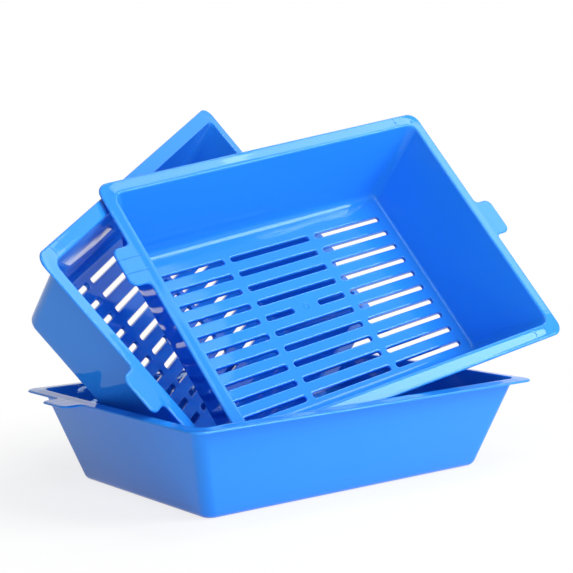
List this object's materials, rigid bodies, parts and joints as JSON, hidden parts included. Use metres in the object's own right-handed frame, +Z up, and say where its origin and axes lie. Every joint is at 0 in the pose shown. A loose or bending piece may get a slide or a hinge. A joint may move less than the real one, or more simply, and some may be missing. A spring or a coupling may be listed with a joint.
{
  "type": "sifting cat litter box",
  "caption": "Sifting cat litter box of alike nesting trays with flanged rims, finger tabs and slotted floors, set out with the upper trays leaning in the lower one.",
  "frame": {"origin": "centre of the underside of the base tray's floor, where the set rests on the ground", "axes": "+Z up, out of the base tray's mouth; +X along the base tray's long side, towards the end with the middle tab; +Y across it, towards the side that the rear tray leans over"},
  "size_m": [0.5544, 0.3886, 0.372],
  "materials": {
    "tray_plastic": "glossy injection-moulded polypropylene, bright blue"
  },
  "bodies": {
    "base": {"base_tray": "tray_plastic"},
    "rear": {"rear_tray": "tray_plastic"},
    "front": {"front_tray": "tray_plastic"}
  },
  "joints": [
    {"name": "rear_lift", "type": "slide", "parent": "base", "child": "rear", "axis": [0, 0, 1], "range_m": [0, 0.12]},
    {"name": "front_lift", "type": "slide", "parent": "rear", "child": "front", "axis": [0.2822, -0.1881, 0.9407], "range_m": [0, 0.36]}
  ]
}
